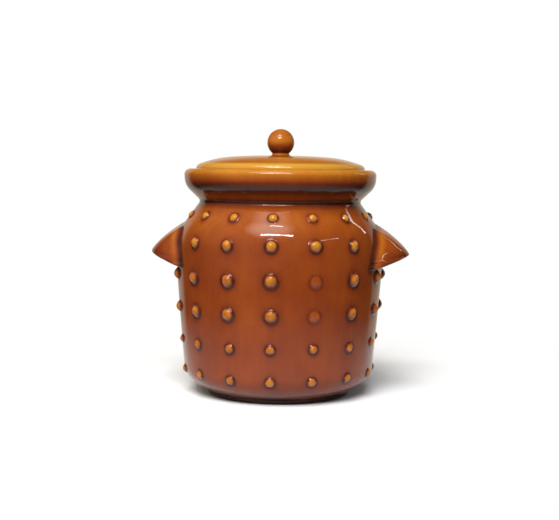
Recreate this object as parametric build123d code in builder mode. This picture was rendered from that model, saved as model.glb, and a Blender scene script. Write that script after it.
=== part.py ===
from build123d import *
import math
import os

os.makedirs("parts", exist_ok=True)

# Glazed stoneware fermenting crock with a water-seal collar. Millimetres, +Z up,
# origin under the centre of the foot, front towards -Y, lifting lugs along X.
# Radii and heights name the corners of the section, which the rounds then soften.

# ---------------------------------------------------------------- driving sizes

# Crock, outside: insets are counted in from the widest radius
body_radius = 110.8
body_height = 134.0
body_round = 300.0
base_inset = 9.4
base_slope = 31.0
base_round = 24.0
foot_inset = 34.3
foot_height = 4.4
foot_flare = 1.6
foot_ring_width = 9.0
foot_recess = 2.6
foot_edge_round = 1.4
shoulder_inset = 1.4
shoulder_rise = 40.3
shoulder_round = 50.0
neck_inset = 25.0
neck_rise = 32.0
neck_round = 4.0

# Water-seal collar around the mouth
collar_overhang = 17.4
collar_flare = 43.6
collar_rise = 34.1
collar_round = 10.0
rim_width = 10.4
rim_outer_round = 6.6
rim_inner_round = 3.4
gutter_depth = 26.4
gutter_width = 11.0
gutter_lean = 7.3
gutter_lean_height = 13.0
gutter_lean_start = 0.7
gutter_side_round = 10.0
gutter_round = 2.5
mouth_wall = 7.0
mouth_drop = 4.4
lip_round = 3.3

# Crock, inside
wall = 9.0
floor_thickness = 11.5
floor_round = 16.0
inside_shoulder_round = 40.0
mouth_root_rise = 2.7
mouth_root_round = 10.0

# Where the belly's stage ends, below the corner of the shoulder
belly_top_drop = 16.0

# Lid: shallow dome with a rolled edge, on a skirt that stands in the gutter
lid_gap = 2.3
lid_rise = 14.6
lid_flat_radius = 30.0
lid_crown_round = 450.0
lid_brow_inset = 22.5
lid_brow_drop = 2.6
lid_brow_round = 120.0
lid_inner_brow_round = 40.0
lid_edge_slope = 19.5
lid_edge_round = 6.0
lid_edge_depth = 7.4
lid_lip_round = 2.4
lid_thickness = 7.0
skirt_wall = 5.5
skirt_clearance = 2.5
skirt_edge_round = 1.5
skirt_root_round = 4.0
vent_radius = 4.0

# Knob
ball_radius = 14.5
ball_rise = 14.0
knob_neck_radius = 9.0
knob_foot_radius = 12.4
knob_sweep_radius = 5.0

# Raised buttons, top row first: distance down the wall from the neck crease,
# radius, and how far each stands out
columns = 15
row_distances = [18.3, 48.5, 83.6, 118.0, 152.9, 186.1]
button_radii = [5.3, 6.3, 7.0, 6.8, 5.2, 5.2]
button_heights = [3.2, 4.4, 5.0, 4.8, 3.4, 3.2]
button_root = 4.0
lug_row = 2
slumped_buttons = [(3, 1), (4, 1)]
slumped_height = 1.8

# Lifting lugs: sections across the lug shrink from the root, station 0, to the tip, station 1
lug_root_depth = 16.8
lug_reach = 30.1
lug_tip_rise = 17.0
lug_half_width = 54.8
lug_rise = 36.0
lug_fall = 16.0
lug_plan_fullness = 1.6
lug_top_fullness = 1.25
lug_under_fullness = 1.1
lug_side_lean = 22.0
lug_ridge_round = 9.0
lug_rim_round = 4.0
lug_crown_drop = 6.0
lug_crown_round = 80.0
lug_stations = [-1.0, 0.0, 0.2, 0.4, 0.6, 0.8, 0.92, 0.97]
recess_half_width = 28.0
recess_depth = 17.5
recess_roof_rise = 3.0
recess_corner_round = 9.0
recess_roof_round = 4.0

# Half-moon weights
weight_clearance = 12.4
weight_thickness = 18.0
weight_gap = 3.0
weight_foot_round = 5.0
weight_edge_round = 2.5
weight_hole_radius = 8.5
weight_hole_offset = 38.0

# ---------------------------------------------------------------- derived places

foot_radius = body_radius - foot_inset
foot_inner_radius = foot_radius - foot_ring_width
foot_top_radius = foot_radius + foot_flare
base_radius = body_radius - base_inset
base_height = foot_height + (base_radius - foot_top_radius) * math.tan(math.radians(base_slope))
shoulder_radius = body_radius - shoulder_inset
shoulder_height = body_height + shoulder_rise
neck_radius = body_radius - neck_inset
neck_height = shoulder_height + neck_rise
collar_radius = neck_radius + collar_overhang
collar_height = neck_height + collar_overhang * math.tan(math.radians(collar_flare))
rim_height = neck_height + collar_rise
rim_inner_radius = collar_radius - rim_width
gutter_floor = rim_height - gutter_depth
gutter_lean_radius = rim_inner_radius - gutter_lean_start
gutter_outer_radius = rim_inner_radius - gutter_lean
gutter_middle_radius = gutter_outer_radius - gutter_width / 2
gutter_inner_radius = gutter_outer_radius - gutter_width
mouth_radius = gutter_inner_radius - mouth_wall
mouth_height = rim_height - mouth_drop
mouth_root_height = neck_height + mouth_root_rise
floor_height = foot_recess + floor_thickness
base_top = floor_height + floor_round
belly_top = shoulder_height - belly_top_drop

lid_radius = rim_inner_radius - lid_gap
lid_top = rim_height + lid_rise
lid_brow_radius = lid_radius - lid_brow_inset
lid_brow_height = lid_top - lid_brow_drop
lid_brow_fall = math.tan(math.radians(lid_edge_slope))
lid_edge_height = lid_brow_height - lid_brow_inset * lid_brow_fall
lid_underside = lid_edge_height - lid_edge_depth
skirt_outer_radius = gutter_outer_radius - skirt_clearance
skirt_inner_radius = skirt_outer_radius - skirt_wall
skirt_root_inset = skirt_inner_radius - lid_brow_radius
skirt_root_height = lid_brow_height - lid_thickness - skirt_root_inset * lid_brow_fall

lug_root_radius = body_radius - lug_root_depth
lug_length = lug_root_depth + lug_reach
lug_tip_height = body_height + lug_tip_rise
recess_roof_height = lug_tip_height + recess_roof_rise
lug_half_angle = math.degrees(math.asin(lug_half_width / body_radius))

weight_radius = base_radius - wall - weight_clearance


# ---------------------------------------------------------------- shared outlines


def rounded_path(start, corners, end):
    """Run of straight lines from start to end, with each (radius, height, round) corner softened."""
    points = [start] + [(radius, height) for radius, height, _ in corners] + [end]
    return FilletPolyline(*points, radius=[corner_round for _, _, corner_round in corners])


wall_corners = [
    (shoulder_radius, shoulder_height, shoulder_round),
    (body_radius, body_height, body_round),
    (base_radius, base_height, base_round),
]


# ---------------------------------------------------------------- crock body

# The whole crock, turned in one piece
with BuildPart() as crock:
    with BuildSketch(Plane.XZ):
        with BuildLine():
            section = rounded_path(
                (0, foot_recess),
                [
                    (foot_inner_radius, foot_recess, foot_edge_round),
                    (foot_inner_radius, 0, foot_edge_round),
                    (foot_radius, 0, foot_edge_round),
                    (foot_top_radius, foot_height, foot_edge_round),
                ]
                + wall_corners[::-1]
                + [
                    (neck_radius, neck_height, neck_round),
                    (collar_radius, collar_height, collar_round),
                    (collar_radius, rim_height, rim_outer_round),
                    (rim_inner_radius, rim_height, rim_inner_round),
                    (gutter_lean_radius, gutter_floor + gutter_lean_height, gutter_side_round),
                    (gutter_outer_radius, gutter_floor, gutter_round),
                    (gutter_inner_radius, gutter_floor, gutter_round),
                    (gutter_inner_radius, mouth_height, lip_round),
                    (mouth_radius, mouth_height, lip_round),
                    (mouth_radius, mouth_root_height, mouth_root_round),
                    (shoulder_radius - wall, shoulder_height, inside_shoulder_round),
                    (body_radius - wall, body_height, body_round),
                    (base_radius - wall, floor_height, floor_round),
                ],
                (0, floor_height),
            )
            Line(section @ 1, section @ 0)
        make_face()
    revolve(axis=Axis.Z)

# Stages of the crock, from the foot up, each cut level from the turned form
with BuildPart() as crock_base:
    add(crock.part)
    split(bisect_by=Plane.XY.offset(base_top), keep=Keep.BOTTOM)
crock_base.part.label = "crock_base"
export_step(crock_base.part, "parts/crock_base.step")

with BuildPart() as crock_belly:
    add(crock.part)
    split(bisect_by=Plane.XY.offset(base_top), keep=Keep.TOP)
    split(bisect_by=Plane.XY.offset(belly_top), keep=Keep.BOTTOM)
crock_belly.part.label = "crock_belly"
export_step(crock_belly.part, "parts/crock_belly.step")

with BuildPart() as crock_shoulder:
    add(crock.part)
    split(bisect_by=Plane.XY.offset(belly_top), keep=Keep.TOP)
    split(bisect_by=Plane.XY.offset(neck_height), keep=Keep.BOTTOM)
crock_shoulder.part.label = "crock_shoulder"
export_step(crock_shoulder.part, "parts/crock_shoulder.step")

with BuildPart() as gutter_base:
    add(crock.part)
    split(bisect_by=Plane.XY.offset(neck_height), keep=Keep.TOP)
    split(bisect_by=Plane.XY.offset(gutter_floor), keep=Keep.BOTTOM)
gutter_base.part.label = "gutter_base"
export_step(gutter_base.part, "parts/gutter_base.step")

# Above the gutter's floor the section is two rings: the collar outside, the mouth wall inside
with BuildPart() as collar:
    add(crock.part)
    split(bisect_by=Plane.XY.offset(gutter_floor), keep=Keep.TOP)
    with BuildSketch(Plane.XY.offset(gutter_floor)):
        Circle(gutter_middle_radius)
    extrude(amount=gutter_depth, mode=Mode.SUBTRACT)
collar.part.label = "collar"
export_step(collar.part, "parts/collar.step")

with BuildPart() as mouth_ring:
    add(crock.part)
    split(bisect_by=Plane.XY.offset(gutter_floor), keep=Keep.TOP)
    with BuildSketch(Plane.XY.offset(gutter_floor)):
        Circle(gutter_middle_radius)
    extrude(amount=gutter_depth, mode=Mode.INTERSECT)
mouth_ring.part.label = "mouth_ring"
export_step(mouth_ring.part, "parts/mouth_ring.step")

# Outer form of the crock between foot and neck, filled solid: what stands on the wall is cut by it
with BuildPart() as wall_form:
    with BuildSketch(Plane.XZ):
        with BuildLine():
            outside = rounded_path((neck_radius, neck_height), wall_corners, (foot_top_radius, foot_height))
            Polyline(outside @ 1, (0, foot_height), (0, neck_height), outside @ 0)
        make_face()
    revolve(axis=Axis.Z)

# ---------------------------------------------------------------- raised buttons

with BuildLine(Plane.XZ):
    wall_run = rounded_path((neck_radius, neck_height), wall_corners, (foot_top_radius, foot_height))


def button(row, height):
    """Domed button of one row, standing square to the wall on the +X side of the crock."""
    place = wall_run.position_at(row_distances[row], position_mode=PositionMode.LENGTH)
    down = wall_run.tangent_at(row_distances[row], position_mode=PositionMode.LENGTH)
    section_plane = Plane(origin=place, x_dir=-down, z_dir=(0, 1, 0))
    radius = button_radii[row]
    with BuildPart() as dome:
        with BuildSketch(section_plane):
            with BuildLine():
                Polyline((0, height), (0, -button_root), (radius, -button_root), (radius, 0))
                RadiusArc((radius, 0), (0, height), -(radius**2 + height**2) / (2 * height))
            make_face()
        revolve(axis=Axis(place, section_plane.y_dir))
        add(wall_form.part, mode=Mode.SUBTRACT)
    return dome.part


for row in range(len(row_distances)):
    full_button = button(row, button_heights[row])
    slumped_button = button(row, slumped_height)
    with BuildPart() as stud_row:
        for column in range(columns):
            turn = column * 360 / columns
            from_lug = min(abs(turn - 90), abs(turn - 270))
            if row + 1 == lug_row and from_lug < lug_half_angle:
                continue
            slumped = (row + 1, column) in slumped_buttons
            with Locations(Rot(0, 0, turn - 90)):
                add(slumped_button if slumped else full_button)
    stud_row.part.label = f"stud_row_{row + 1}"
    export_step(stud_row.part, f"parts/stud_row_{row + 1}.step")

# ---------------------------------------------------------------- lifting lugs


def swell(station, fullness):
    """Size of a lug section as a share of the root's: 1 at the root, 0 at the tip, rounder when fuller."""
    return (1 - station**fullness) ** (1 / fullness)


with BuildPart() as lug_right:
    for station in lug_stations:
        shrink = max(station, 0)
        taper = swell(shrink, lug_plan_fullness)
        half_width = lug_half_width * taper
        top = lug_rise * swell(shrink, lug_top_fullness)
        bottom = -lug_fall * swell(shrink, lug_under_fullness)
        ridge = half_width - (top - bottom) * math.tan(math.radians(lug_side_lean))
        ridge_height = top - lug_crown_drop * taper
        corners = [
            (half_width, bottom, lug_rim_round),
            (ridge, ridge_height, lug_ridge_round),
            (0, top, lug_crown_round),
            (-ridge, ridge_height, lug_ridge_round),
            (-half_width, bottom, lug_rim_round),
        ]
        station_origin = (lug_root_radius + station * lug_length, 0, lug_tip_height)
        with BuildSketch(Plane(origin=station_origin, x_dir=(0, 1, 0), z_dir=(1, 0, 0))):
            with BuildLine():
                FilletPolyline(
                    *[(across, up) for across, up, _ in corners],
                    radius=[corner_round * taper for _, _, corner_round in corners],
                    close=True,
                )
            make_face()
    loft()
    with BuildSketch(Plane.XY.offset(recess_roof_height)):
        with Locations((body_radius + recess_depth, 0)):
            RectangleRounded(
                2 * lug_root_depth + recess_depth,
                2 * recess_half_width,
                recess_corner_round,
                align=(Align.MAX, Align.CENTER),
            )
    extrude(amount=-lug_fall - lug_rise, mode=Mode.SUBTRACT)
    level_faces = lug_right.faces().filter_by(Axis.Z)
    recess_roof = level_faces.filter_by_position(Axis.Z, lug_tip_height, lug_tip_height + lug_rise)
    fillet(recess_roof.edges(), recess_roof_round)
    add(wall_form.part, mode=Mode.SUBTRACT)
lug_right.part.label = "handle_right"
export_step(lug_right.part, "parts/handle_right.step")

with BuildPart() as lug_left:
    add(lug_right.part)
    mirror(about=Plane.YZ, mode=Mode.REPLACE)
lug_left.part.label = "handle_left"
export_step(lug_left.part, "parts/handle_left.step")

# ---------------------------------------------------------------- lid

# The whole lid, turned in one piece; its dome and skirt are cut from it
with BuildPart() as lid_form:
    with BuildSketch(Plane.XZ):
        with BuildLine():
            dome = rounded_path(
                (0, lid_top),
                [
                    (lid_flat_radius, lid_top, lid_crown_round),
                    (lid_brow_radius, lid_brow_height, lid_brow_round),
                    (lid_radius, lid_edge_height, lid_edge_round),
                    (lid_radius, lid_underside, lid_lip_round),
                    (skirt_outer_radius, lid_underside, lid_lip_round),
                    (skirt_outer_radius, gutter_floor, skirt_edge_round),
                    (skirt_inner_radius, gutter_floor, skirt_edge_round),
                    (skirt_inner_radius, skirt_root_height, skirt_root_round),
                    (lid_brow_radius, lid_brow_height - lid_thickness, lid_inner_brow_round),
                    (lid_flat_radius, lid_top - lid_thickness, lid_crown_round),
                ],
                (0, lid_top - lid_thickness),
            )
            Line(dome @ 1, dome @ 0)
        make_face()
    revolve(axis=Axis.Z)
    with BuildSketch(Plane.YZ):
        with Locations((0, gutter_floor)):
            Circle(vent_radius)
    extrude(amount=lid_radius, both=True, mode=Mode.SUBTRACT)

with BuildPart() as lid:
    add(lid_form.part)
    split(bisect_by=Plane.XY.offset(lid_underside), keep=Keep.TOP)
lid.part.label = "lid"
export_step(lid.part, "parts/lid.step")

with BuildPart() as lid_skirt:
    add(lid_form.part)
    split(bisect_by=Plane.XY.offset(lid_underside), keep=Keep.BOTTOM)
lid_skirt.part.label = "lid_skirt"
export_step(lid_skirt.part, "parts/lid_skirt.step")

# ---------------------------------------------------------------- knob

ball_height = lid_top + ball_rise
neck_drop = math.sqrt(ball_radius**2 - knob_neck_radius**2)
knob_neck = (knob_neck_radius, ball_height - neck_drop)

with BuildPart() as lid_knob:
    with BuildSketch(Plane.XZ):
        with BuildLine():
            Polyline((0, ball_height + ball_radius), (0, lid_top), (knob_foot_radius, lid_top))
            RadiusArc((knob_foot_radius, lid_top), knob_neck, knob_sweep_radius)
            ThreePointArc(knob_neck, (ball_radius, ball_height), (0, ball_height + ball_radius))
        make_face()
    revolve(axis=Axis.Z)
lid_knob.part.label = "lid_knob"
export_step(lid_knob.part, "parts/lid_knob.step")

# ---------------------------------------------------------------- weights

with BuildPart() as weight_front:
    with BuildSketch(Plane.XY.offset(floor_height)):
        Circle(weight_radius)
        with Locations((0, -weight_gap / 2)):
            Rectangle(2 * weight_radius, weight_radius, align=(Align.CENTER, Align.MAX), mode=Mode.INTERSECT)
    extrude(amount=weight_thickness)
    curved_side = weight_front.faces().filter_by(GeomType.CYLINDER)
    fillet(curved_side.edges().filter_by(GeomType.CIRCLE).sort_by(Axis.Z)[0], weight_foot_round)
    fillet(weight_front.faces().sort_by(Axis.Z)[-1].edges(), weight_edge_round)
    with Locations((0, -weight_hole_offset, floor_height + weight_thickness)):
        Hole(weight_hole_radius)
weight_front.part.label = "weight_front"
export_step(weight_front.part, "parts/weight_front.step")

with BuildPart() as weight_back:
    add(weight_front.part)
    mirror(about=Plane.XZ, mode=Mode.REPLACE)
weight_back.part.label = "weight_back"
export_step(weight_back.part, "parts/weight_back.step")
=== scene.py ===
import math

import bpy
import numpy as np
from mathutils import Matrix, Vector


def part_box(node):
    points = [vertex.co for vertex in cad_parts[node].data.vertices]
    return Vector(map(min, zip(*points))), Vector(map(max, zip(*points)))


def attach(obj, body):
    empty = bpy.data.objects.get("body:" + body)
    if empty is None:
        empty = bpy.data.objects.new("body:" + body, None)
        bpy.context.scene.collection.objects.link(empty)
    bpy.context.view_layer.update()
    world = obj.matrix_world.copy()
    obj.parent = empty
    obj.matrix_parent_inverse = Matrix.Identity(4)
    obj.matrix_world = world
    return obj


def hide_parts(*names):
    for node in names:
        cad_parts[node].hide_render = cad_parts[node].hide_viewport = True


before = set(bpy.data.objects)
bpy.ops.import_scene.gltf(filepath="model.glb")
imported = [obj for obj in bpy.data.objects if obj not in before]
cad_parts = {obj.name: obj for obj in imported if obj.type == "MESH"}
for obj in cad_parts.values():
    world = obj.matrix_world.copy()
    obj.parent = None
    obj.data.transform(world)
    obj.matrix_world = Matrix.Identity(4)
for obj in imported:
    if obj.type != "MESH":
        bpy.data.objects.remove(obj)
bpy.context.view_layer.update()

# Honey-glazed stoneware fermenting crock, in metres, +Z up, front towards -Y.
# Heights and radii start from the frame's boxes. Section corners are (radius, height, round)
# in millimetres and are turned about the Z axis.

MM = 0.001
ROUND = 2 * math.pi
glaze_seed = 7

# ---------------------------------------------------------------- sizes from the frame


def top_of(node):
    """Highest point of a frame node, in millimetres."""
    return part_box(node)[1].z / MM


def reach_of(node):
    """Farthest the node goes along +X, in millimetres."""
    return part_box(node)[1].x / MM


crock_stages = ["crock_base", "crock_belly", "crock_shoulder", "gutter_base", "collar", "mouth_ring"]
rim_height = top_of("collar")
belly_radius = reach_of("crock_belly") + 0.4
shoulder_height = rim_height - 66.1
neck_radius = belly_radius - 25.0
neck_height = rim_height - 34.1
collar_radius = belly_radius - 7.6
gutter_floor = rim_height - 26.4
rim_width = 10.4
collar_band_foot = neck_height + 16.6
gutter_outer = collar_radius - 17.7
gutter_width = 11.0
mouth_outer = gutter_outer - gutter_width
mouth_inner = mouth_outer - 7.0
mouth_top = rim_height - 4.4
belly_height = shoulder_height - 40.3
foot_height = 4.4
foot_radius = belly_radius - 34.3
foot_inner = foot_radius - 9.0
foot_recess = 2.6
foot_flare = 1.6
floor_height = 14.1

lid_radius = reach_of("lid")
lid_top = top_of("lid")
knob_top = top_of("lid_knob")
knob_radius = reach_of("lid_knob")

lug_tip = reach_of("handle_right")
lug_tip_height = 151.0
lug_root = belly_radius - 16.8
lug_half_width = 54.8
lug_rise = 36.0
lug_fall = 16.0

# ---------------------------------------------------------------- raised buttons
# Rows from the top: way down the wall from the neck crease, radius and height of each button

columns = 15
column_turn = ROUND / columns
button_rows = [
    (18.3, 5.3, 3.1),
    (48.5, 6.3, 4.3),
    (83.6, 7.0, 4.9),
    (118.0, 6.8, 4.7),
    (152.9, 5.2, 3.3),
    (186.1, 5.2, 3.1),
]
lug_row = 2
lug_half_angle = math.radians(29.6)
slumped_buttons = [(3, 1), (4, 1)]
slumped_height = 1.6
smeared_button = (2, 1)

# ---------------------------------------------------------------- curves and surfaces


def softened(corners, step, arc_step=math.radians(9)):
    """Outline through (across, up, round) corners: straight runs joined by arcs tangent to both,
    with points about every step along the runs and every step or arc_step along the arcs."""
    points = np.array([corner[:2] for corner in corners], float)
    outline = [points[:1]]
    rounds = [corner[2] for corner in corners[1:]]
    for before, here, after, corner_round in zip(points, points[1:], points[2:], rounds):
        back = (before - here) / np.linalg.norm(before - here)
        ahead = (after - here) / np.linalg.norm(after - here)
        half = math.acos(np.clip(back @ ahead, -1, 1)) / 2
        reach = corner_round / math.tan(half)
        middle = here + (back + ahead) / np.linalg.norm(back + ahead) * corner_round / math.sin(half)
        sweep = math.pi - 2 * half
        chords = max(2, math.ceil(sweep / arc_step), math.ceil(sweep * corner_round / step))
        share = np.linspace(0, 1, 1 + chords)
        start = here + back * reach - middle
        finish = here + ahead * reach - middle
        arc = np.outer(np.sin((1 - share) * sweep), start) + np.outer(np.sin(share * sweep), finish)
        outline.append(run(outline[-1][-1], middle + start, step))
        outline.append(middle + arc / math.sin(sweep))
    outline.append(run(outline[-1][-1], points[-1], step))
    outline = np.vstack(outline)
    return outline[keep_apart(outline)]


def run(start, end, step):
    """Points of a straight run from start to end, about every step."""
    share = np.linspace(0, 1, 1 + max(1, math.ceil(np.linalg.norm(end - start) / step)))[:, None]
    return start * (1 - share) + end * share


def keep_apart(points):
    """True for the points that don't repeat the one before them."""
    gap = np.linalg.norm(np.diff(points, axis=0), axis=1)
    return np.concatenate([[True], gap > 1e-6])


def closed_surface(name, grids, glaze):
    """Mesh over one or more closed grids of points, in millimetres. In each grid the rows run from
    pole to pole, the first and last row being one point each, and the columns wrap round. Faces are
    turned outwards by the sign of the enclosed volume. glaze holds a number for each grid point: depth
    of glaze, with painted light and shade mixed in."""
    points, faces, tones = [], [], []
    count = 0
    for grid, tone in zip(grids, glaze):
        rows, wide = grid.shape[:2]
        ring = 1 + np.arange((rows - 2) * wide).reshape(rows - 2, wide)
        beside = np.roll(ring, -1, axis=1)
        last = ring[-1, -1] + 1
        quads = np.stack([ring[:-1], ring[1:], beside[1:], beside[:-1]], -1).reshape(-1, 4)
        caps = np.vstack([
            np.stack([np.zeros(wide, int), ring[0], beside[0]], -1),
            np.stack([ring[-1], np.full(wide, last), beside[-1]], -1),
        ])
        body = np.vstack([grid[0, :1], grid[1:-1].reshape(-1, 3), grid[-1, :1]])
        fans = np.vstack([quads[:, [0, 1, 2]], quads[:, [0, 2, 3]], caps])
        volume = np.einsum("ij,ij->i", body[fans[:, 0]], np.cross(body[fans[:, 1]], body[fans[:, 2]])).sum()
        if volume < 0:
            quads, caps = quads[:, ::-1], caps[:, ::-1]
        faces += (quads + count).tolist() + (caps + count).tolist()
        points.append(body)
        tones.append(np.concatenate([tone[0, :1], tone[1:-1].ravel(), tone[-1, :1]]))
        count += len(body)
    mesh = bpy.data.meshes.new(name)
    mesh.from_pydata((np.vstack(points) * MM).tolist(), [], faces)
    mesh.polygons.foreach_set("use_smooth", np.ones(len(faces), bool))
    layer = mesh.attributes.new("glaze", "FLOAT", "POINT")
    layer.data.foreach_set("value", np.concatenate(tones).astype(np.float32))
    piece = bpy.data.objects.new(name, mesh)
    bpy.context.scene.collection.objects.link(piece)
    return piece


def turned(outline, segments):
    """Grid of an outline turned about Z: each outline point goes round in a circle of its radius.
    Returns the grid with its radii, heights and turn angles as arrays of the grid's shape."""
    turn = np.arange(segments) * ROUND / segments
    radius, turn = np.meshgrid(outline[:, 0], turn, indexing="ij")
    height = np.repeat(outline[:, 1:], segments, axis=1)
    return radius, height, turn


def on_axis(radius, height, turn):
    """Points at a radius, height and turn about Z."""
    return np.stack([radius * np.cos(turn), radius * np.sin(turn), height], -1)


def step_up(value, low, high):
    """0 below low, 1 above high and a smooth S between them."""
    share = np.clip((value - low) / (high - low), 0, 1)
    return share * share * (3 - 2 * share)


def hump(value, middle, width):
    """Bell curve of height 1, down to a third one width from its middle."""
    return np.exp(-(((value - middle) / width) ** 2))


def wander(turn, height):
    """How far the pressed wall falls short of a true circle: three slow waves round the pot that
    drift with height, never above zero."""
    waves = 0.16 * np.sin(2 * turn + 0.7 + height / 70) + 0.1 * np.sin(5 * turn - height / 31)
    return waves + 0.05 * np.sin(9 * turn + height / 13 + 2.0) - 0.31


# ---------------------------------------------------------------- wall of the crock

wall_corners = [
    (belly_radius - 1.4, shoulder_height, 50.0),
    (belly_radius, belly_height, 300.0),
    (belly_radius - 9.4, foot_height + 14.0, 24.0),
]
wall_ends = [(neck_radius, neck_height, 0), (foot_radius + foot_flare, foot_height, 0)]
wall_line = softened(wall_ends[:1] + wall_corners + wall_ends[1:], 1.0)
wall_way = np.concatenate([[0], np.cumsum(np.linalg.norm(np.diff(wall_line, axis=0), axis=1))])
wall_slope = np.gradient(wall_line, wall_way, axis=0)


def on_wall(way, turn, proud):
    """Point on the wall, way down it from the neck crease, at a turn about Z, standing proud of it
    along the wall's own normal."""
    radius = np.interp(way, wall_way, wall_line[:, 0])
    height = np.interp(way, wall_way, wall_line[:, 1])
    outwards = -np.interp(way, wall_way, wall_slope[:, 1])
    upwards = np.interp(way, wall_way, wall_slope[:, 0])
    radius = radius + wander(turn, height) + proud * outwards
    return on_axis(radius, height + proud * upwards, turn)


def wall_radius(height):
    """Radius of the wall at a height."""
    return np.interp(height, wall_line[::-1, 1], wall_line[::-1, 0])


# ---------------------------------------------------------------- glaze depth with painted light and shade, 0 thin or lit to 1 pooled or shaded

# Height against depth of glaze on the outside, with painted light and shade mixed in: heavy at the foot and
# in the neck, thin on the rim, painted shade on the foot and on the band under the collar's edge, painted
# light on the shoulder and on the cone just above the neck crease
glaze_and_shade_by_height = np.array([
    (0.0, 0.92), (4.4, 0.94), (7.0, 0.8), (14.0, 0.64), (30.0, 0.54), (90.0, 0.52), (150.0, 0.49),
    (175.0, 0.43), (190.0, 0.38), (199.0, 0.42), (203.5, 0.6), (neck_height, 0.93), (208.5, 0.7),
    (210.0, 0.46), (213.0, 0.5), (217.0, 0.78), (221.0, 0.88), (225.0, 0.72), (229.0, 0.46), (233.0, 0.3),
    (237.0, 0.18), (rim_height, 0.13),
])


def height_glaze_and_shade(height):
    """Depth of glaze on the outside of the crock by height alone, with painted light and shade mixed in."""
    return np.interp(height, glaze_and_shade_by_height[:, 0], glaze_and_shade_by_height[:, 1])


def buttons():
    """Every button as (row, column, way down the wall, turn, radius, height, stretch round the pot)."""
    drift = np.random.default_rng(glaze_seed)
    made = []
    for row, (way, radius, height) in enumerate(button_rows, 1):
        for column in range(columns):
            shift, swing, grow, stretch = drift.uniform(-1, 1, 4)
            from_lug = abs(abs((column * column_turn) % ROUND - math.pi) - math.pi / 2)
            if row == lug_row and from_lug < lug_half_angle:
                continue
            turn = column * column_turn - math.pi / 2
            size = radius * (1 + 0.04 * grow)
            tall = slumped_height if (row, column) in slumped_buttons else height * (1 - 0.05 * abs(grow))
            wide = 1.35 if (row, column) == smeared_button else 1 + 0.07 * stretch
            made.append((row, column, way + 0.6 * shift, turn + 0.006 * swing, size, tall, wide))
    return made


all_buttons = buttons()


def button_pooling(points):
    """Extra glaze depth round the buttons: a narrow dark ring at each foot, heavier below it, and a
    faint wide halo, from each point's distance to the button in button radii."""
    extra = np.zeros(points.shape[:-1])
    for _, _, way, turn, size, tall, _ in all_buttons:
        centre = on_wall(way, turn, 0.0)
        low_centre = centre - np.array([0, 0, 0.16 * size])
        far = np.linalg.norm(points - low_centre, axis=-1) / size
        fullness = 0.5 if tall == slumped_height else 1.0
        extra = np.maximum(extra, fullness * (0.25 * hump(far, 1.0, 0.27) + 0.1 * hump(far, 0.8, 0.9)))
    return extra


# ---------------------------------------------------------------- glaze and clay materials

glaze_colours = [
    (0.0, (0.69, 0.51, 0.19)),
    (0.14, (0.66, 0.43, 0.13)),
    (0.3, (0.59, 0.33, 0.10)),
    (0.42, (0.525, 0.255, 0.085)),
    (0.53, (0.465, 0.205, 0.085)),
    (0.65, (0.39, 0.165, 0.085)),
    (0.78, (0.30, 0.13, 0.08)),
    (0.9, (0.21, 0.095, 0.065)),
    (1.0, (0.15, 0.08, 0.07)),
]


def linear(colour):
    """Scene-linear colour of a display colour."""
    value = np.array(colour, float)
    return np.where(value <= 0.04045, value / 12.92, ((value + 0.055) / 1.055) ** 2.4)


def new_material(name):
    """Empty node material with its Principled shader, ready to link."""
    material = bpy.data.materials.new(name)
    material.use_nodes = True
    return material, material.node_tree, material.node_tree.nodes["Principled BSDF"]


def noise(tree, coordinates, stretch, scale, detail, name):
    """Noise on Object coordinates, stretched by a Mapping node."""
    mapping = tree.nodes.new("ShaderNodeMapping")
    mapping.inputs["Scale"].default_value = stretch
    texture = tree.nodes.new("ShaderNodeTexNoise")
    texture.label = name
    texture.inputs["Scale"].default_value = scale
    texture.inputs["Detail"].default_value = detail
    tree.links.new(coordinates, mapping.inputs["Vector"])
    tree.links.new(mapping.outputs["Vector"], texture.inputs["Vector"])
    return texture.outputs["Fac"]


def spread(tree, value, low, high):
    """Maps 0.25 to 0.75 of a noise onto low to high."""
    node = tree.nodes.new("ShaderNodeMapRange")
    node.inputs["From Min"].default_value = 0.25
    node.inputs["From Max"].default_value = 0.75
    node.inputs["To Min"].default_value = low
    node.inputs["To Max"].default_value = high
    tree.links.new(value, node.inputs["Value"])
    return node.outputs["Result"]


def total(tree, values):
    """Sum of several values."""
    result = values[0]
    for value in values[1:]:
        node = tree.nodes.new("ShaderNodeMath")
        tree.links.new(result, node.inputs[0])
        tree.links.new(value, node.inputs[1])
        result = node.outputs[0]
    return result


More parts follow.
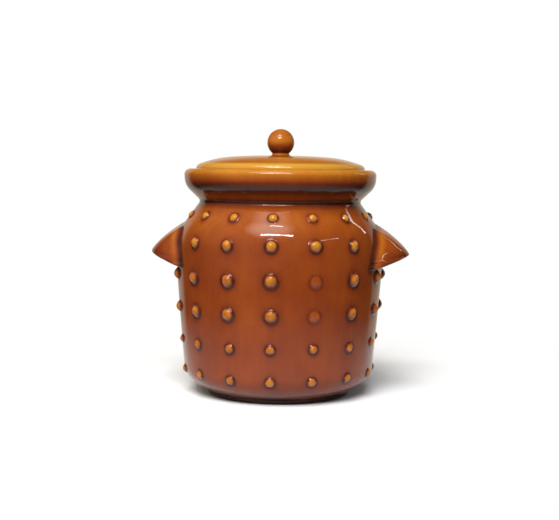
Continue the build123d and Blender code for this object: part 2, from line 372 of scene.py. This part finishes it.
def honey_glaze(name, mottle, runs, cloud_scale):
    """Glossy amber glaze over stoneware. Its colour follows the glaze attribute, which holds glaze depth
    with painted light and shade mixed in, from gold where the glaze is thin or painted lit to near black
    where it pools or is painted shaded, stirred by cloudy mottling, downward runs and fine specks."""
    material, tree, shader = new_material(name)
    # Glaze attribute: glaze depth with painted light and shade mixed in
    depth_and_painted_light = tree.nodes.new("ShaderNodeAttribute")
    depth_and_painted_light.attribute_name = "glaze"
    place = tree.nodes.new("ShaderNodeTexCoord").outputs["Object"]
    clouds = spread(tree, noise(tree, place, (1, 1, 1), cloud_scale, 4, "cloudy mottling"), -mottle, mottle)
    streaks = spread(tree, noise(tree, place, (1, 1, 0.16), 130, 3, "downward runs"), -runs, runs)
    grain = spread(tree, noise(tree, place, (1, 1, 1), 900, 2, "fine specks"), -0.035, 0.035)
    ramp = tree.nodes.new("ShaderNodeValToRGB")
    ramp.color_ramp.elements.remove(ramp.color_ramp.elements[1])
    for index, (position, colour) in enumerate(glaze_colours):
        stop = ramp.color_ramp.elements[0] if index == 0 else ramp.color_ramp.elements.new(position)
        stop.position = position
        stop.color = (*linear(colour), 1)
    tree.links.new(total(tree, [depth_and_painted_light.outputs["Fac"], clouds, streaks, grain]), ramp.inputs["Fac"])
    tree.links.new(ramp.outputs["Color"], shader.inputs["Base Color"])
    peel = tree.nodes.new("ShaderNodeBump")
    peel.inputs["Strength"].default_value = 0.35
    peel.inputs["Distance"].default_value = 0.0002
    tree.links.new(noise(tree, place, (1, 1, 1), 160, 3, "orange peel"), peel.inputs["Height"])
    tree.links.new(peel.outputs["Normal"], shader.inputs["Normal"])
    tree.links.new(peel.outputs["Normal"], shader.inputs["Coat Normal"])
    dull = spread(tree, noise(tree, place, (1, 1, 1), 60, 2, "uneven melt"), 0.3, 0.5)
    tree.links.new(dull, shader.inputs["Roughness"])
    shader.inputs["Specular IOR Level"].default_value = 0.0
    shader.inputs["Coat Weight"].default_value = 1.0
    shader.inputs["Coat Roughness"].default_value = 0.05
    shader.inputs["Coat IOR"].default_value = 1.33
    return material


def bare_stoneware():
    """Dry buff stoneware, speckled with iron and rough with grog."""
    material, tree, shader = new_material("bare_stoneware")
    place = tree.nodes.new("ShaderNodeTexCoord").outputs["Object"]
    ramp = tree.nodes.new("ShaderNodeValToRGB")
    ramp.color_ramp.elements[0].position = 0.32
    ramp.color_ramp.elements[0].color = (*linear((0.42, 0.31, 0.23)), 1)
    ramp.color_ramp.elements[1].position = 0.46
    ramp.color_ramp.elements[1].color = (*linear((0.79, 0.7, 0.58)), 1)
    tree.links.new(noise(tree, place, (1, 1, 1), 420, 5, "iron speckle"), ramp.inputs["Fac"])
    tree.links.new(ramp.outputs["Color"], shader.inputs["Base Color"])
    grog = tree.nodes.new("ShaderNodeBump")
    grog.inputs["Strength"].default_value = 0.6
    grog.inputs["Distance"].default_value = 0.0004
    tree.links.new(noise(tree, place, (1, 1, 1), 700, 6, "grog"), grog.inputs["Height"])
    tree.links.new(grog.outputs["Normal"], shader.inputs["Normal"])
    wear = spread(tree, noise(tree, place, (1, 1, 1), 90, 2, "wear"), 0.7, 0.95)
    tree.links.new(wear, shader.inputs["Roughness"])
    return material


# Mottling, runs and the mottling's scale: finer clouds on small pieces
body_glaze = honey_glaze("body_glaze", 0.06, 0.025, 24)
lug_glaze = honey_glaze("lug_glaze", 0.07, 0.02, 40)
button_glaze = honey_glaze("button_glaze", 0.14, 0.0, 150)
lid_glaze = honey_glaze("lid_glaze", 0.05, 0.02, 24)


def finished(piece, material, body, slot, *nodes):
    """Gives a piece its finish, its body and the frame nodes that it stands for, which it hides. slot is not
    used.
    """
    piece.data.materials.append(material)
    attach(piece, body)
    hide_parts(*nodes)
    return piece


# ---------------------------------------------------------------- lifting lugs

lug_length = lug_tip - lug_root
lug_outline = softened(
    [(0, -lug_fall, 0), (lug_half_width, -lug_fall, 4.0), (33.8, 30.0, 9.0), (0, lug_rise, 0)],
    1.2,
)
oval_half_width = 47.5
oval_share = 0.85
hollow_half_width = 28.0
hollow_depth = 17.5
hollow_round = 9.0
hollow_roof = 3.0
groove_depth = 1.5
root_sunk = 3.5


def swell(station, fullness):
    """Share of the root's size left at a station, 1 at the root and 0 at the tip."""
    inside = np.clip(station, 0, 1)
    return (1 - inside**fullness) ** (1 / fullness)


def lug_grid():
    """Right lug: its root outline is carried out along X, its back melts towards an oval, and it
    shrinks to a point at the tip, faster across than up and down. The end inside the crock is pressed
    onto the wall's own curve, and the underside is pushed up into a finger hollow."""
    right = lug_outline
    left = right[::-1][1:-1] * (-1, 1)
    ring = np.vstack([right, left])
    inner_end = np.linspace(-0.3, 0, 5)
    outwards = np.sin(np.linspace(0.0, 1.5708, 46))[1:]
    stations = np.concatenate([np.full(4, -0.3), inner_end[1:], outwards])
    shrink = np.concatenate([[0, 0.25, 0.5, 0.75], np.ones(len(stations) - 4)])
    tall = np.where(ring[:, 1] > 0, lug_rise, lug_fall)
    bearing = np.arctan2(ring[:, 1] / tall, ring[:, 0] / oval_half_width)
    oval = np.stack([oval_half_width * np.cos(bearing), tall * np.sin(bearing)], -1)
    on_back = step_up(ring[:, 1], -lug_fall, 4.0)
    melt = oval_share * step_up(stations, 0.1, 0.75)[:, None] * on_back
    side = ring[:, 0] * (1 - melt) + oval[:, 0] * melt
    rise = ring[:, 1] * (1 - melt) + oval[:, 1] * melt
    across = (swell(stations, 1.6) * shrink)[:, None] * side
    above = (swell(stations, 1.25) * shrink)[:, None] * np.maximum(rise, 0)
    below = (swell(stations, 1.1) * shrink)[:, None] * np.minimum(rise, 0)
    out = np.repeat(lug_root + stations[:, None] * lug_length, len(ring), axis=1)
    groove = groove_depth * hump(below + above, -8.5, 2.6) * step_up(swell(stations, 1.6), 0.2, 0.7)[:, None]
    across = across - np.sign(across) * groove * step_up(np.abs(across), 18, 26)
    underside = step_up(-np.repeat(ring[None, :, 1], len(stations), axis=0), 13.5, 15.9)
    past_side = np.abs(across) - (hollow_half_width - hollow_round)
    past_end = out - (belly_radius + hollow_depth - hollow_round)
    off = np.hypot(np.maximum(past_side, 0), np.maximum(past_end, 0)) - hollow_round
    hollow = underside * (shrink[:, None] == 1) * (1 - step_up(off, -3.0, 0.0))
    up = lug_tip_height + (above + below) * (1 - hollow) + hollow_roof * hollow
    embedded = np.sqrt(np.maximum((wall_radius(up) - root_sunk) ** 2 - across**2, 0))
    return np.stack([np.maximum(out, embedded), across, up], -1)


def lug_glaze_and_shade(grid):
    """Glaze on a lug, with painted light and shade: pooled where it meets the wall, a gold band just
    outside that, partly thin glaze and partly painted light, painted shade deepening towards the tip and
    under the side, and painted light along the lower rim."""
    out, across, up = grid[..., 0], grid[..., 1], grid[..., 2]
    clear = np.hypot(out, across) - wall_radius(up)
    # Painted shade towards the tip and under the side; pooled glaze at the seam
    tone = 0.46 + 0.16 * step_up(clear, 12, 30) + 0.12 * step_up(lug_tip_height + 4 - up, 0, 10)
    tone = tone - 0.16 * hump(clear, 6.0, 2.8) + 0.42 * hump(clear, 0.5, 2.4)
    # Painted light along the lower rim
    return tone - 0.14 * hump(up, lug_tip_height - lug_fall + 0.5, 2.2)


right_lug = lug_grid()
for side, node in ((1, "handle_right"), (-1, "handle_left")):
    piece = closed_surface("lifting_" + node, [right_lug * (side, 1, 1)], [lug_glaze_and_shade(right_lug)])
    finished(piece, lug_glaze, "crock", "lug_glaze", node)

# ---------------------------------------------------------------- crock

foot_corners = [
    (0, foot_recess, 0),
    (foot_inner, foot_recess, 1.4),
    (foot_inner, 0, 1.4),
    (foot_radius, 0, 1.4),
    (foot_radius + foot_flare, foot_height, 1.4),
]
collar_corners = [
    (neck_radius, neck_height, 4.0),
    (collar_radius, collar_band_foot, 18.0),
    (collar_radius, rim_height, 6.6),
    (collar_radius - rim_width, rim_height, 3.4),
    (collar_radius - rim_width - 0.7, gutter_floor + 13.0, 10.0),
    (gutter_outer, gutter_floor, 2.5),
    (mouth_outer, gutter_floor, 2.5),
    (mouth_outer, mouth_top, 3.3),
    (mouth_inner, mouth_top, 3.3),
    (mouth_inner, neck_height + 2.7, 10.0),
]
inside_corners = [
    (belly_radius - 10.4, shoulder_height, 40.0),
    (belly_radius - 9.0, belly_height, 300.0),
    (belly_radius - 18.4, floor_height, 16.0),
    (0, floor_height, 0),
]


def lug_pooling(points):
    """Extra glaze depth along the seams where the lugs meet the wall, from each point's distance to
    the right lug's seam, with the crock's left half mirrored onto its right."""
    out, across, up = right_lug[..., 0], right_lug[..., 1], right_lug[..., 2]
    clear = np.hypot(out, across) - wall_radius(up)
    seam = on_axis(wall_radius(up), up, np.arctan2(across, out))[np.abs(clear) < 1.2]
    mirrored = np.stack([np.abs(points[:, 0]), points[:, 1], points[:, 2]], -1)
    gap = np.full(len(points), 99.0)
    for start in range(0, len(seam), 50):
        stretch = seam[None, start:start + 50]
        gap = np.minimum(gap, np.linalg.norm(mirrored[:, None] - stretch, axis=-1).min(axis=1))
    return 0.3 * hump(gap, 0, 3.5)


def crock_mesh():
    """Crock: the section from under the foot, up the wall, over the collar, down into the gutter, over
    the mouth and down inside, turned about Z. The outside wanders a little off round."""
    outline = softened(foot_corners + wall_corners[::-1] + collar_corners + inside_corners, 2.0)
    lowest = np.argmin(np.abs(outline[:, 1] - foot_height) + (outline[:, 0] < foot_radius) * 99)
    rim = np.argmax(outline[:, 1])
    radius, height, turn = turned(outline, 456)
    order = np.arange(len(outline))[:, None]
    outside = (order >= lowest) & (order <= rim)
    loose = outside * step_up(height, 4, 12) * (1 - step_up(height, rim_height - 12, rim_height - 2))
    grid = on_axis(radius + wander(turn, height) * loose, height, turn)
    in_gutter = 0.3 * hump(height, gutter_floor, 5) * (radius > 70)
    inner = np.where(height > rim_height - 8, 0.3, 0.48) + in_gutter
    tone = np.where(order <= rim, height_glaze_and_shade(height), inner)
    tone = tone + button_pooling(grid) * outside
    beside_lugs = outside & (np.abs(grid[..., 1]) < 72) & (height > 120) & (height < 200)
    tone[beside_lugs] = tone[beside_lugs] + lug_pooling(grid[beside_lugs])
    return closed_surface("glazed_crock", [grid], [tone])


finished(crock_mesh(), body_glaze, "crock", "body_glaze", *crock_stages)


# Rings of a button's grid, in button radii from its middle. The last three turn back under it
button_rings = np.array([
    0, 0.12, 0.26, 0.4, 0.54, 0.66, 0.77, 0.86, 0.93, 1.0, 1.07, 1.15, 1.25, 1.38, 1.3, 0.7, 0,
])
sunk_rings = 3
sunk_depth = 2.5
button_segments = 28


def button_grid(way, turn, size, tall, wide):
    """One button: a round cap, height times 1 minus the square of the distance from its middle, faired
    into the wall by a soft maximum, with a flat back sunk in the clay."""
    back = np.arange(len(button_rings)) >= len(button_rings) - sunk_rings
    fairing = 0.13 * tall
    proud = fairing * np.log1p(np.exp(tall * (1 - button_rings**2) / fairing))
    proud = proud - proud[-sunk_rings - 1] - 0.02
    proud = np.where(back, -sunk_depth, proud * tall / proud[0])
    around = np.arange(button_segments) * ROUND / button_segments
    reach, around = np.meshgrid(button_rings, around, indexing="ij")
    radius = np.interp(way, wall_way, wall_line[:, 0])
    down = reach * size * np.cos(around)
    aside = reach * size * np.sin(around) * np.where(np.sin(around) < 0, wide, 1)
    return on_wall(way + down, turn + aside / radius, proud[:, None]), reach


def button_tones(grid, reach, tall):
    """Glaze on a button: gold on the cap where the glaze runs thin, painted lighter still near the
    shoulder where light from above falls, pooled round its foot, and the wall's own beyond that."""
    wall_tone = height_glaze_and_shade(grid[..., 2]) + button_pooling(grid)
    # Cap tone: thin glaze, with painted light making caps near the shoulder lighter
    cap_thin_and_lit = 0.42 if tall == slumped_height else 0.27 - 0.17 * hump(grid[..., 2], 185, 40)
    return wall_tone + (cap_thin_and_lit - wall_tone) * (1 - step_up(reach, 0.6, 0.98))


def button_row_mesh(row):
    """All the buttons of one row as one mesh."""
    caps, tones = [], []
    for _, _, way, turn, size, tall, wide in [button for button in all_buttons if button[0] == row]:
        cap, reach = button_grid(way, turn, size, tall, wide)
        caps.append(cap)
        tones.append(button_tones(cap, reach, tall))
    return closed_surface(f"glazed_buttons_{row}", caps, tones)


for row in range(1, len(button_rows) + 1):
    finished(button_row_mesh(row), button_glaze, "crock", "button_glaze", f"stud_row_{row}")

# ---------------------------------------------------------------- lid and knob

flat_radius = 30.0
brow_inset = 22.5
brow_radius = lid_radius - brow_inset
brow_height = lid_top - 2.6
brow_fall = math.tan(math.radians(19.5))
edge_height = brow_height - brow_inset * brow_fall
lip_height = edge_height - 7.4
lid_thickness = 7.0
skirt_outer = gutter_outer - 2.5
skirt_inner = skirt_outer - 5.5
skirt_root = brow_height - lid_thickness - (skirt_inner - brow_radius) * brow_fall
vent_radius = 4.0


def lid_mesh():
    """Lid: a shallow dome with a rolled edge and a skirt, turned about Z. The skirt's foot is lifted
    over two round gas notches on the X axis."""
    outline = softened(
        [
            (0, lid_top, 0),
            (flat_radius, lid_top, 450.0),
            (brow_radius, brow_height, 120.0),
            (lid_radius, edge_height, 6.0),
            (lid_radius, lip_height, 2.4),
            (skirt_outer, lip_height, 2.4),
            (skirt_outer, gutter_floor, 1.5),
            (skirt_inner, gutter_floor, 1.5),
            (skirt_inner, skirt_root, 4.0),
            (brow_radius, brow_height - lid_thickness, 40.0),
            (flat_radius, lid_top - lid_thickness, 450.0),
            (0, lid_top - lid_thickness, 0),
        ],
        1.8,
    )
    radius, height, turn = turned(outline, 480)
    sideways = radius * np.sin(turn)
    notch = gutter_floor + np.sqrt(np.maximum(vent_radius**2 - sideways**2, 0))
    height = np.maximum(height, np.where(np.abs(sideways) < vent_radius, notch, gutter_floor))
    order = np.arange(len(outline))[:, None]
    rolled = np.argmin(np.hypot(outline[:, 0] - lid_radius, outline[:, 1] - edge_height))
    top = order <= rolled + 8
    # Tones on the top: pooled glaze in a ring round the knob's foot, slightly lighter towards the brow, a
    # deeper band inside the rolled edge, thin gold glaze over the rolled edge
    tone = 0.24 + 0.45 * hump(radius, 12.5, 1.6) - 0.06 * step_up(radius, 55, 75)
    tone = tone + 0.1 * hump(radius, lid_radius - 10, 3.0)
    tone = tone - 0.24 * step_up(radius, lid_radius - 6, lid_radius - 2.5)
    # Painted shade on the lip under the rolled edge
    tone = tone + 0.5 * step_up(edge_height - 2.6 - height, 0, 3)
    return closed_surface("glazed_lid", [on_axis(radius, height, turn)], [np.where(top, tone, 0.5)])


finished(lid_mesh(), lid_glaze, "lid", "lid_glaze", "lid", "lid_skirt")


knob_middle = knob_top - knob_radius
knob_neck_radius = 9.0
knob_foot_radius = 12.4


def knob_mesh():
    """Knob: a ball on a waisted neck that sweeps out to its foot, turned about Z."""
    neck_angle = -math.acos(knob_neck_radius / knob_radius)
    ball_turns = np.linspace(math.pi / 2, neck_angle, 40)
    ball = np.stack([knob_radius * np.cos(ball_turns), knob_middle + knob_radius * np.sin(ball_turns)], -1)
    sweep = np.linspace(0, 1, 10)[1:, None]
    waist = np.array([knob_neck_radius, knob_middle + knob_radius * math.sin(neck_angle)])
    bend = np.array([knob_neck_radius - 0.3, lid_top + 0.7])
    foot = np.array([knob_foot_radius, lid_top])
    skirt = waist * (1 - sweep) ** 2 + 2 * bend * sweep * (1 - sweep) + foot * sweep**2
    outline = np.vstack([ball, skirt, [[6.0, lid_top - 0.5], [0, lid_top - 0.5]]])
    outline[0, 0] = 0
    radius, height, turn = turned(outline, 96)
    # Tones by height: painted shade on the underside of the ball, a slightly deeper band high on the ball, a
    # gold band at the waist that is partly thin glaze and partly painted highlight, and pooled glaze where
    # the foot meets the lid
    tone = 0.24 + 0.46 * step_up(knob_middle - height, -2, 9) + 0.1 * hump(height, knob_middle + 9, 4)
    tone = tone - 0.5 * hump(height, waist[1] - 1.2, 1.6) + 0.35 * hump(height, lid_top, 0.7)
    return closed_surface("glazed_knob", [on_axis(radius, height, turn)], [tone])


finished(knob_mesh(), lid_glaze, "lid", "lid_glaze", "lid_knob")

# ---------------------------------------------------------------- weights

weight_clay = bare_stoneware()
for node in ("weight_front", "weight_back"):
    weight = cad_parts[node]
    weight.data.materials.clear()
    weight.data.materials.append(weight_clay)

# ---------------------------------------------------------------- floor, light and camera


floor_radius = 0.6
floor_sides = 96


def floor():
    """Plain pale floor, a disc under the foot that fades out into the white room."""
    turn = np.arange(floor_sides) * ROUND / floor_sides
    edge = on_axis(floor_radius, np.zeros(floor_sides), turn)
    mesh = bpy.data.meshes.new("floor")
    mesh.from_pydata(edge.tolist(), [], [list(range(floor_sides))])
    disc = bpy.data.objects.new("floor", mesh)
    bpy.context.scene.collection.objects.link(disc)
    material, tree, shader = new_material("pale_floor")
    place = tree.nodes.new("ShaderNodeTexCoord").outputs["Object"]
    ramp = tree.nodes.new("ShaderNodeValToRGB")
    ramp.color_ramp.elements[0].color = (0.80, 0.86, 0.96, 1)
    ramp.color_ramp.elements[1].color = (0.84, 0.9, 1.0, 1)
    tree.links.new(noise(tree, place, (1, 1, 1), 3, 2, "soft unevenness"), ramp.inputs["Fac"])
    tree.links.new(ramp.outputs["Color"], shader.inputs["Base Color"])
    away = tree.nodes.new("ShaderNodeVectorMath")
    away.operation = "LENGTH"
    tree.links.new(place, away.inputs[0])
    fade = tree.nodes.new("ShaderNodeMapRange")
    fade.interpolation_type = "SMOOTHSTEP"
    fade.inputs["From Min"].default_value = 0.14
    fade.inputs["From Max"].default_value = 0.55
    fade.inputs["To Min"].default_value = 1.0
    fade.inputs["To Max"].default_value = 0.0
    tree.links.new(away.outputs["Value"], fade.inputs["Value"])
    tree.links.new(fade.outputs["Result"], shader.inputs["Alpha"])
    shader.inputs["Roughness"].default_value = 0.8
    disc.data.materials.append(material)


def softbox(name, azimuth, elevation, distance, size, power, aim=(0, 0, 0.15)):
    """Soft rectangular lamp. Azimuth 0 stands in front, 90 on the right; it faces the aim point."""
    lamp = bpy.data.lights.new(name, "AREA")
    lamp.shape = "RECTANGLE"
    lamp.size, lamp.size_y = size
    lamp.energy = power
    stand = bpy.data.objects.new(name, lamp)
    turn, lift = math.radians(azimuth), math.radians(elevation)
    towards = Vector((math.sin(turn) * math.cos(lift), -math.cos(turn) * math.cos(lift), math.sin(lift)))
    stand.location = Vector(aim) + towards * distance
    stand.rotation_euler = towards.to_track_quat("Z", "Y").to_euler()
    bpy.context.scene.collection.objects.link(stand)


def surroundings():
    """White room: even white to the eye. What lights the pot and is mirrored in its glaze is a warm
    room: a backdrop low behind the pot, two soft banks of light high in front, one wide and dim and
    one narrow and bright, and next to nothing elsewhere."""
    world = bpy.data.worlds.new("studio")
    bpy.context.scene.world = world
    world.use_nodes = True
    tree = world.node_tree
    background = tree.nodes["Background"]
    place = tree.nodes.new("ShaderNodeTexCoord").outputs["Generated"]
    split = tree.nodes.new("ShaderNodeSeparateXYZ")
    tree.links.new(place, split.inputs[0])

    def smooth(value, low, high, least, most):
        """least below low, most above high and a smooth S between them."""
        node = tree.nodes.new("ShaderNodeMapRange")
        node.interpolation_type = "SMOOTHSTEP"
        for socket, number in zip(("From Min", "From Max", "To Min", "To Max"), (low, high, least, most)):
            node.inputs[socket].default_value = number
        tree.links.new(value, node.inputs["Value"])
        return node.outputs["Result"]

    def joined(operation, one, other):
        """Result of a Math operation on two values."""
        node = tree.nodes.new("ShaderNodeMath")
        node.operation = operation
        tree.links.new(one, node.inputs[0])
        tree.links.new(other, node.inputs[1])
        return node.outputs[0]

    def lobe(direction, edge, most):
        """Round bank of light: most in its direction, 0 where the cosine to it falls to edge."""
        aim = tree.nodes.new("ShaderNodeVectorMath")
        aim.operation = "DOT_PRODUCT"
        aim.inputs[1].default_value = Vector(direction).normalized()
        tree.links.new(place, aim.inputs[0])
        return smooth(aim.outputs["Value"], edge, 1.0, 0.0, most)

    behind = smooth(split.outputs["Y"], 0.6, 0.74, 0.03, 0.7)
    low = smooth(split.outputs["Z"], 0.2, 0.5, 1.0, 0.1)
    backdrop = joined("MULTIPLY", behind, low)
    wide_bank = lobe((-0.4, -0.6, 0.7), 0.25, 0.7)
    narrow_bank = lobe((-0.13, -0.58, 0.82), 0.9, 9.0)
    bank = joined("ADD", wide_bank, narrow_bank)
    strength = joined("ADD", backdrop, bank)
    rays = tree.nodes.new("ShaderNodeLightPath").outputs["Is Camera Ray"]
    tree.links.new(joined("MAXIMUM", strength, rays), background.inputs["Strength"])
    tint = tree.nodes.new("ShaderNodeMix")
    tint.data_type = "RGBA"
    tint.inputs["A"].default_value = (1, 0.9, 0.74, 1)
    tint.inputs["B"].default_value = (1, 1, 1, 1)
    tree.links.new(rays, tint.inputs["Factor"])
    tree.links.new(tint.outputs["Result"], background.inputs["Color"])


camera_place = (0.0939, -1.2064, 0.2383)
camera_dip = math.radians(4.52)
camera_roll = math.radians(0.649)


def camera():
    """Camera a little above the rim's height and a little right of centre, looking slightly down."""
    lens = bpy.data.cameras.new("camera")
    lens.lens = 72.26
    lens.sensor_width = 36.0
    eye = bpy.data.objects.new("camera", lens)
    heading = math.atan2(camera_place[0], -camera_place[1])
    eye.matrix_world = (
        Matrix.Translation(camera_place)
        @ Matrix.Rotation(heading, 4, "Z")
        @ Matrix.Rotation(math.pi / 2 - camera_dip, 4, "X")
        @ Matrix.Rotation(camera_roll, 4, "Z")
    )
    bpy.context.scene.collection.objects.link(eye)
    bpy.context.scene.camera = eye


floor()
surroundings()
camera()
softbox("front_strip", 0, 39, 2.2, (1.25, 0.09), 30)
softbox("high_strip", -4, 61, 2.2, (0.4, 0.06), 5)
softbox("right_strip", 62, 24, 2.2, (1.0, 0.03), 2)
softbox("right_back_strip", 124, 27, 2.2, (0.05, 0.7), 1.6)
bpy.context.scene.view_settings.view_transform = "Standard"
